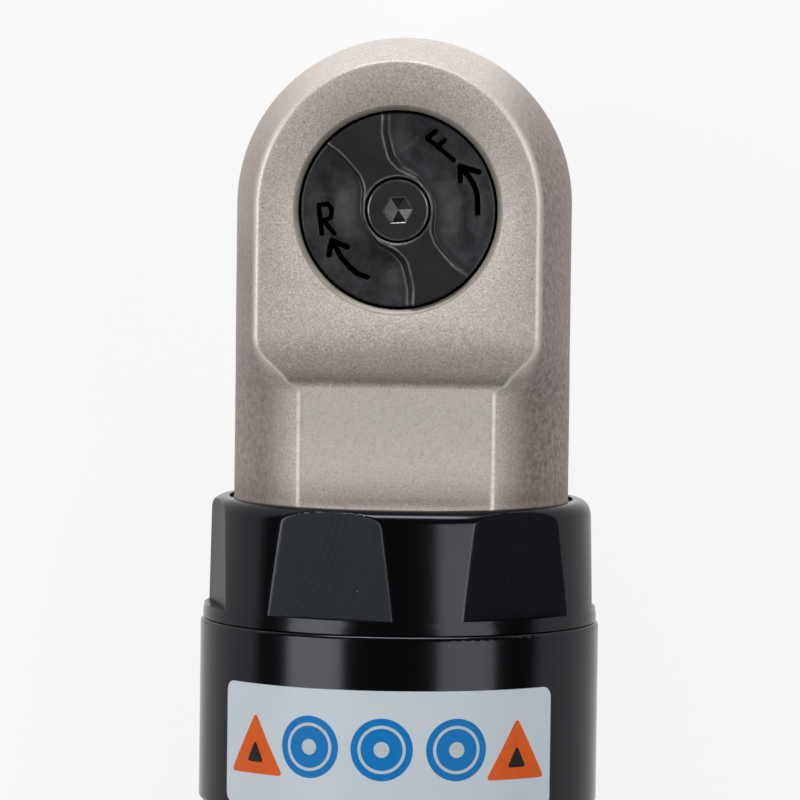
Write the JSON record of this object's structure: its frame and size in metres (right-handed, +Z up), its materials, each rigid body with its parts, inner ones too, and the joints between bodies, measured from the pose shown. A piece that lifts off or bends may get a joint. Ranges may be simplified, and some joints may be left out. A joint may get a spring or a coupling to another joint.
{
  "type": "air ratchet wrench",
  "caption": "Pneumatic ratchet wrench with a square drive, a forged head with a reversing knob, a locking nut, a round black handle and a throttle lever",
  "frame": {"origin": "centre of the square drive's end face", "axes": "+Z up along the drive's axis through the reversing knob, +Y out of the nose, handle back along -Y"},
  "size_m": [0.046, 0.2831, 0.0612],
  "materials": {
    "head_steel": "bead-blasted nickel plate",
    "black_steel": "glossy black oxide",
    "knob_black": "satin black",
    "label_vinyl": "printed vinyl",
    "drive_steel": "ground and hardened",
    "bearing_steel": "polished",
    "spring_steel": "drawn wire",
    "bronze": "oiled bronze",
    "cast_plate": "machined",
    "vane_resin": "fibre resin",
    "gasket_paper": "gasket paper",
    "handle_black": "black anodised",
    "grip_rubber": "moulded rubber",
    "lever_black": "black anodised",
    "zinc_steel": "zinc plated",
    "felt": "pressed felt"
  },
  "bodies": {
    "housing": {"ratchet_head": "head_steel", "bearing_plate": "drive_steel", "snap_ring": "drive_steel", "upper_thrust_washer": "drive_steel", "lower_thrust_washer": "drive_steel", "crank_bushing": "bronze", "crank_bearing": "bearing_steel", "ring_gear": "drive_steel", "lock_nut": "black_steel", "gear_case": "black_steel", "label": "label_vinyl", "gear_plate": "drive_steel", "front_end_plate": "cast_plate", "front_rotor_bearing": "bearing_steel", "cylinder": "cast_plate", "rear_end_plate": "cast_plate", "rear_rotor_bearing": "bearing_steel", "motor_dowel": "drive_steel", "motor_gasket": "gasket_paper", "handle_body": "handle_black", "grip_sleeve": "grip_rubber", "lever_pin": "drive_steel", "valve_guide": "bronze", "valve_spring": "spring_steel", "valve_plug": "zinc_steel", "inlet_bushing": "zinc_steel", "inlet_screen": "zinc_steel", "muffler": "felt"},
    "yoke": {"yoke": "drive_steel"},
    "anvil": {"anvil": "drive_steel", "pawl_pin": "drive_steel", "drive_ball_spring": "spring_steel"},
    "knob": {"reverse_knob": "knob_black", "knob_screw": "knob_black", "reverse_shaft": "drive_steel", "plunger_spring": "spring_steel"},
    "pawl": {"pawl": "drive_steel"},
    "plunger": {"pawl_plunger": "drive_steel"},
    "socket_ball": {"drive_ball": "bearing_steel"},
    "rotor": {"rotor": "drive_steel", "vane_1": "vane_resin", "vane_2": "vane_resin", "vane_3": "vane_resin", "vane_4": "vane_resin", "vane_5": "vane_resin"},
    "crankshaft": {"crankshaft": "drive_steel", "planet_pins": "drive_steel"},
    "planet_1": {"planet_gear_1": "drive_steel"},
    "planet_2": {"planet_gear_2": "drive_steel"},
    "planet_3": {"planet_gear_3": "drive_steel"},
    "bushing": {"drive_bushing": "bearing_steel"},
    "lever": {"throttle_lever": "lever_black"},
    "valve": {"throttle_valve": "bronze"},
    "deflector": {"exhaust_deflector": "handle_black"}
  },
  "joints": [
    {"name": "rotor_spin", "type": "hinge", "parent": "housing", "child": "rotor", "pos_m": [0, -0.1, 0.031], "axis": [0, 1, 0], "continuous": true},
    {"name": "crank_spin", "type": "hinge", "parent": "housing", "child": "crankshaft", "pos_m": [0, -0.045, 0.031], "axis": [0, 1, 0], "continuous": true},
    {"name": "bushing_spin", "type": "hinge", "parent": "crankshaft", "child": "bushing", "pos_m": [0, -0.0245, 0.0327], "axis": [0, 1, 0], "continuous": true},
    {"name": "planet_1_spin", "type": "hinge", "parent": "crankshaft", "child": "planet_1", "pos_m": [0, -0.0648, 0.04045], "axis": [0, 1, 0], "continuous": true},
    {"name": "planet_2_spin", "type": "hinge", "parent": "crankshaft", "child": "planet_2", "pos_m": [-0.00818, -0.0648, 0.02627], "axis": [0, 1, 0], "continuous": true},
    {"name": "planet_3_spin", "type": "hinge", "parent": "crankshaft", "child": "planet_3", "pos_m": [0.00818, -0.0648, 0.02627], "axis": [0, 1, 0], "continuous": true},
    {"name": "yoke_rock", "type": "hinge", "parent": "housing", "child": "yoke", "pos_m": [0, 0, 0.031], "axis": [0, 0, 1], "range_deg": [-3.95, 3.95]},
    {"name": "anvil_spin", "type": "hinge", "parent": "housing", "child": "anvil", "pos_m": [0, 0, 0.031], "axis": [0, 0, 1], "continuous": true},
    {"name": "reverse_turn", "type": "hinge", "parent": "anvil", "child": "knob", "pos_m": [0, 0, 0.031], "axis": [0, 0, -1], "range_deg": [0, 60]},
    {"name": "pawl_tilt", "type": "hinge", "parent": "anvil", "child": "pawl", "pos_m": [0, 0.008, 0.031], "axis": [0, 0, 1], "range_deg": [0, 10]},
    {"name": "plunger_press", "type": "slide", "parent": "knob", "child": "plunger", "axis": [0.5, -0.866, 0], "range_m": [0, 0.0006], "stiffness_N_per_m": 300, "springref_m": -0.001},
    {"name": "ball_press", "type": "slide", "parent": "anvil", "child": "socket_ball", "axis": [-1, 0, 0], "range_m": [0, 0.0008], "stiffness_N_per_m": 800, "springref_m": -0.001},
    {"name": "lever_squeeze", "type": "hinge", "parent": "housing", "child": "lever", "pos_m": [0, -0.226, 0.0505], "axis": [-1, 0, 0], "range_deg": [0, 6], "stiffness_Nm_per_rad": 2, "springref_deg": -5.73},
    {"name": "valve_slide", "type": "slide", "parent": "housing", "child": "valve", "axis": [0, 0, -1], "range_m": [0, 0.003], "deforming": ["valve_spring"]},
    {"name": "deflector_turn", "type": "hinge", "parent": "housing", "child": "deflector", "pos_m": [0, -0.2475, 0.031], "axis": [0, 1, 0], "continuous": true}
  ],
  "couplings": [
    {"joint": "crank_spin", "follows": "rotor_spin", "ratio": 0.22222},
    {"joint": "bushing_spin", "follows": "rotor_spin", "ratio": -0.22222},
    {"joint": "pawl_tilt", "follows": "reverse_turn", "ratio": 0.16667},
    {"joint": "valve_slide", "follows": "lever_squeeze", "m_per_rad": 0.027},
    {"joint": "planet_1_spin", "follows": "rotor_spin", "ratio": -0.62222},
    {"joint": "planet_2_spin", "follows": "rotor_spin", "ratio": -0.62222},
    {"joint": "planet_3_spin", "follows": "rotor_spin", "ratio": -0.62222}
  ]
}
